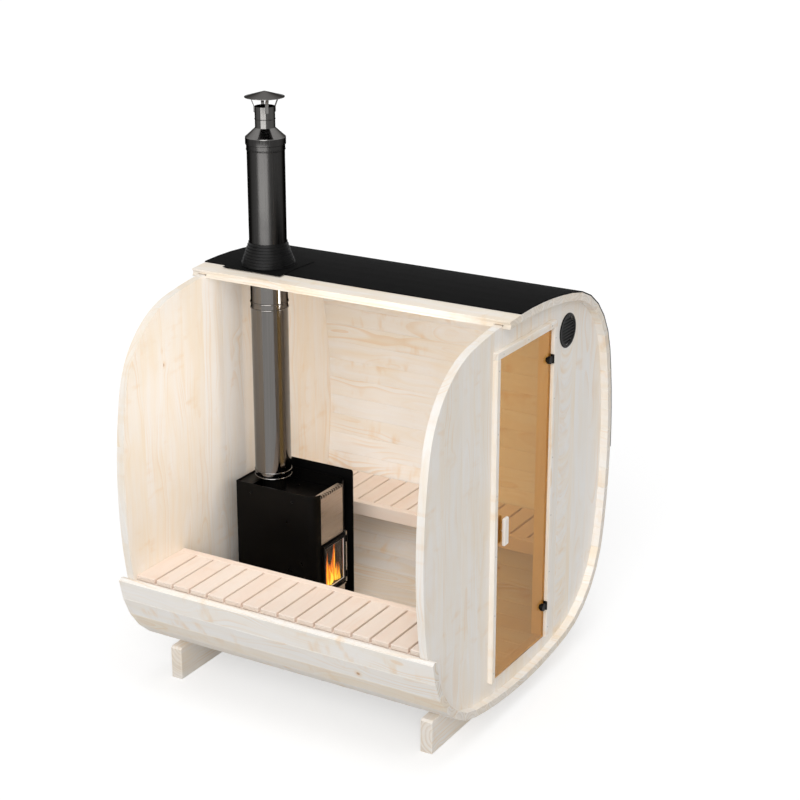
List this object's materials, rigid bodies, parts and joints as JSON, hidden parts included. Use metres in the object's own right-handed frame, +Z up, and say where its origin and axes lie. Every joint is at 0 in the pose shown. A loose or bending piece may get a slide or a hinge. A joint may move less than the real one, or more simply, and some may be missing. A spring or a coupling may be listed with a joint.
{
  "type": "barrel sauna",
  "caption": "Square-round wooden barrel sauna with an open side, slatted benches, wood stove, chimney and glass door.",
  "frame": {"origin": "on the ground under the middle of the barrel", "axes": "+Z up, -Y out of the glass door, -X out of the open side, +Y along the barrel to the stove"},
  "size_m": [2.1185, 2, 3.2635],
  "materials": {
    "pale_pine": "planed, unfinished",
    "wall_pine": "planed, unfinished",
    "aspen": "sanded",
    "felt": "matt mineral",
    "boot_rubber": "matt",
    "bronze_glass": "clear tinted",
    "black_steel": "satin black",
    "brushed_steel": "brushed",
    "polished_steel": "polished",
    "chimney_steel": "dark satin",
    "fire_iron": "raw",
    "fire_glass": "clear smoked",
    "black_fitting": "matt black",
    "vent_plastic": "matt",
    "handle_wood": "sanded"
  },
  "bodies": {
    "sauna": {"floor_staves": "pale_pine", "left_staves": "pale_pine", "roof_staves": "pale_pine", "shoulder_staves": "pale_pine", "right_staves": "pale_pine", "lower_right_staves": "pale_pine", "back_wall": "wall_pine", "front_wall_left": "wall_pine", "front_wall_right": "wall_pine", "front_wall_head": "wall_pine", "front_wall_sill": "wall_pine", "front_cradle": "pale_pine", "back_cradle": "pale_pine", "roof_felt": "felt", "flashing_plate": "boot_rubber", "pipe_boot": "boot_rubber", "door_casing": "pale_pine", "door_lining": "pale_pine", "hinge_brackets": "black_fitting", "wall_vent": "vent_plastic", "left_bench_slats": "aspen", "left_bench_edge": "aspen", "left_bench_bearers": "aspen", "right_bench_slats": "aspen", "right_bench_edge": "aspen", "right_bench_bearers": "aspen", "stove_base": "black_steel", "stove_jacket": "black_steel", "stove_back": "black_steel", "stove_front_plate": "brushed_steel", "stove_front_frame": "black_steel", "ash_pan_front": "brushed_steel", "firebox": "fire_iron", "stove_crown": "black_steel", "side_shield": "black_steel", "fire_door_rod": "brushed_steel", "flue_pipe": "polished_steel", "chimney_pipe": "chimney_steel", "chimney_reducer": "chimney_steel", "chimney_stub": "chimney_steel", "rain_cap": "chimney_steel"},
    "door": {"door_glass": "bronze_glass", "door_hinges": "black_fitting", "door_handle": "handle_wood"},
    "fire_door": {"fire_door_frame": "brushed_steel", "fire_door_glass": "fire_glass"}
  },
  "joints": [
    {"name": "door_hinge", "type": "hinge", "parent": "sauna", "child": "door", "pos_m": [0.3, -0.985, 1.15], "axis": [0, 0, 1], "range_deg": [0, 100]},
    {"name": "fire_door_hinge", "type": "hinge", "parent": "sauna", "child": "fire_door", "pos_m": [0.13, 0.239, 0.549], "axis": [0, 0, 1], "range_deg": [0, 100]}
  ]
}
